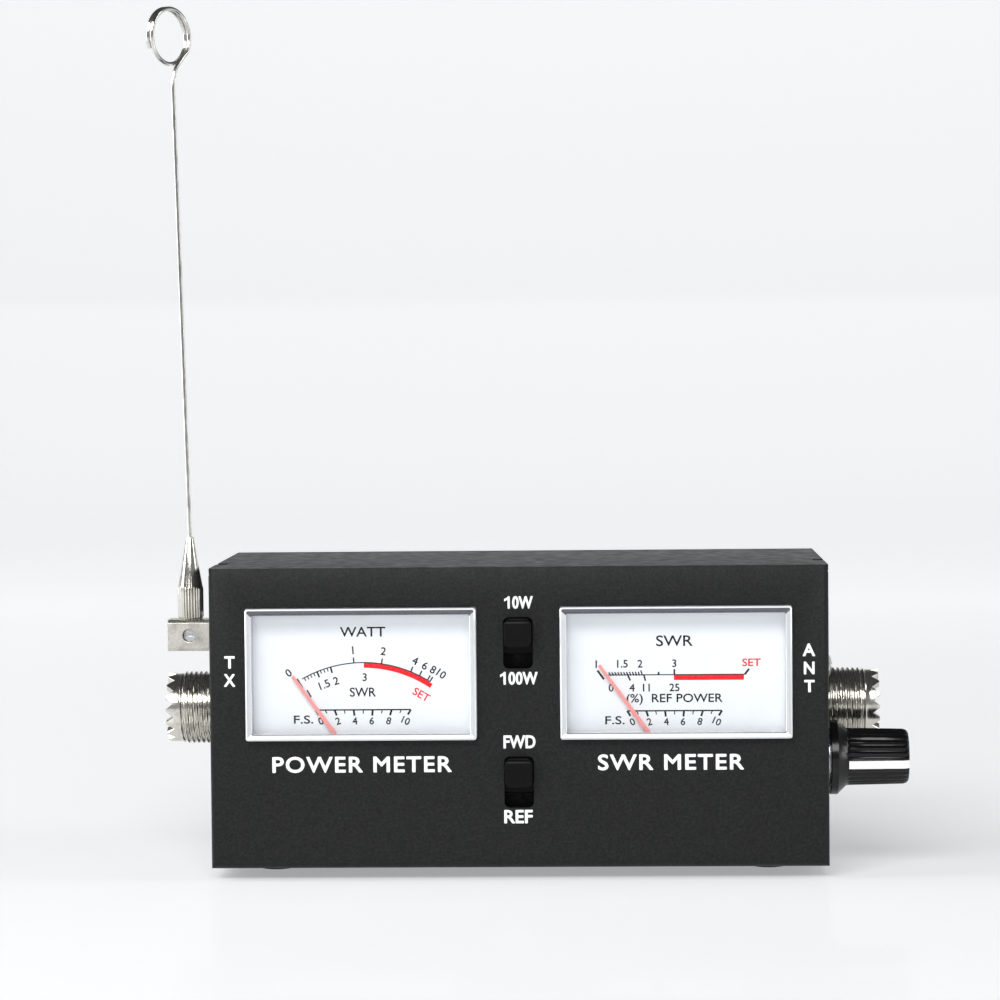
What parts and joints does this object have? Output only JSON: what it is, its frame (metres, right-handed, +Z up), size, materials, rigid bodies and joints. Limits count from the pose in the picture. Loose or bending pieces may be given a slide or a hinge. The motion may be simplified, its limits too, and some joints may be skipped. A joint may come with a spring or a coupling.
{
  "type": "swr meter",
  "caption": "Desktop power, SWR and field strength meter: black steel cabinet, twin needle meters, slide switches, calibration knob, coaxial sockets and pickup whip.",
  "frame": {"origin": "on the table, under the middle of the whole object's box, knob, sockets, levers and rear screws included", "axes": "+X to the right as seen from the front, +Y from the front panel to the back, +Z up"},
  "size_m": [0.1601, 0.0652, 0.185],
  "materials": {
    "cabinet_paint": "fine textured black powder coat, satin",
    "zinc_screws": "bright zinc plate",
    "foot_rubber": "matt black rubber",
    "black_moulding": "moulded black plastic",
    "clear_moulding": "clear moulded acrylic",
    "dial_white": "white printed plate",
    "needle_red": "red lacquered needle",
    "copper": "bare and enamelled copper",
    "magnet": "sintered magnet",
    "soft_iron": "soft iron, passivated",
    "brass": "stamped brass",
    "bronze_spring": "thin bronze strip",
    "tinned_metal": "tinned terminals",
    "switch_frame": "stamped plated steel",
    "lever_black": "moulded black plastic",
    "circuit_board": "phenolic board",
    "nickel": "nickel plate",
    "socket_insulator": "cream moulded insulator",
    "silver_contact": "silver plate",
    "knob_black": "satin black plastic",
    "knob_line_white": "white line",
    "control_body": "moulded control body",
    "bright_steel": "bright spring steel",
    "diode_glass": "glass diode with orange core",
    "resistor_body": "lacquered resistor body",
    "capacitor_ceramic": "dipped ceramic disc",
    "trimmer_blue": "blue moulded trimmer",
    "wire_red": "red insulated wire",
    "wire_black": "black insulated wire",
    "wire_yellow": "yellow insulated wire and tinned tag"
  },
  "bodies": {
    "cabinet": {"chassis": "cabinet_paint", "cabinet_cover": "cabinet_paint", "cover_screws": "zinc_screws", "rubber_feet": "foot_rubber", "power_case": "black_moulding", "power_window": "clear_moulding", "power_dial": "dial_white", "power_core": "magnet", "power_yoke": "soft_iron", "power_bridges": "brass", "power_springs": "bronze_spring", "power_terminals": "tinned_metal", "swr_case": "black_moulding", "swr_window": "clear_moulding", "swr_dial": "dial_white", "swr_core": "magnet", "swr_yoke": "soft_iron", "swr_bridges": "brass", "swr_springs": "bronze_spring", "swr_terminals": "tinned_metal", "range_switch_body": "switch_frame", "function_switch_body": "switch_frame", "switch_terminals": "tinned_metal", "switch_board": "circuit_board", "switch_board_studs": "zinc_screws", "tx_socket_shell": "nickel", "tx_socket_insulator": "socket_insulator", "tx_socket_contact": "silver_contact", "ant_socket_shell": "nickel", "ant_socket_insulator": "socket_insulator", "ant_socket_contact": "silver_contact", "socket_screws": "zinc_screws", "socket_nuts": "zinc_screws", "cal_pot_body": "control_body", "cal_pot_nut": "zinc_screws", "coupler_board": "circuit_board", "coupler_main_line": "copper", "coupler_pickup_lines": "copper", "coupler_diodes": "diode_glass", "coupler_resistors": "resistor_body", "coupler_capacitors": "capacitor_ceramic", "coupler_trimmers": "trimmer_blue", "antenna_bush": "socket_insulator", "meter_wires": "wire_red", "pot_wires": "wire_black", "antenna_tag_wire": "wire_yellow"},
    "power_movement": {"power_needle": "needle_red", "power_coil": "copper"},
    "swr_movement": {"swr_needle": "needle_red", "swr_coil": "copper"},
    "range_lever": {"range_switch_lever": "lever_black"},
    "function_lever": {"function_switch_lever": "lever_black"},
    "calibration_knob": {"cal_knob": "knob_black", "cal_knob_line": "knob_line_white", "cal_pot_shaft": "bright_steel"},
    "antenna_arm": {"antenna_block": "nickel", "antenna_nut": "zinc_screws", "antenna_set_screw": "bright_steel", "antenna_ferrule": "nickel", "antenna_whip": "bright_steel"}
  },
  "joints": [
    {"name": "power_needle_swing", "type": "hinge", "parent": "cabinet", "child": "power_movement", "pos_m": [-0.03574, -0.0247, 0.0228], "axis": [0, 1, 0], "range_deg": [0, 74], "stiffness_Nm_per_rad": 0.0001, "springref_deg": -5.73},
    {"name": "swr_needle_swing", "type": "hinge", "parent": "cabinet", "child": "swr_movement", "pos_m": [0.03026, -0.0247, 0.0228], "axis": [0, 1, 0], "range_deg": [0, 74], "stiffness_Nm_per_rad": 0.0001, "springref_deg": -5.73},
    {"name": "range_switch_slide", "type": "slide", "parent": "cabinet", "child": "range_lever", "axis": [0, 0, 1], "range_m": [-0.0044, 0]},
    {"name": "function_switch_slide", "type": "slide", "parent": "cabinet", "child": "function_lever", "axis": [0, 0, 1], "range_m": [-0.0044, 0]},
    {"name": "calibration_turn", "type": "hinge", "parent": "cabinet", "child": "calibration_knob", "pos_m": [0.07226, -0.0175, 0.0244], "axis": [1, 0, 0], "range_deg": [-150, 150]},
    {"name": "antenna_swivel", "type": "hinge", "parent": "cabinet", "child": "antenna_arm", "pos_m": [-0.07274, -0.015, 0.0511], "axis": [1, 0, 0], "range_deg": [-90, 90]}
  ]
}
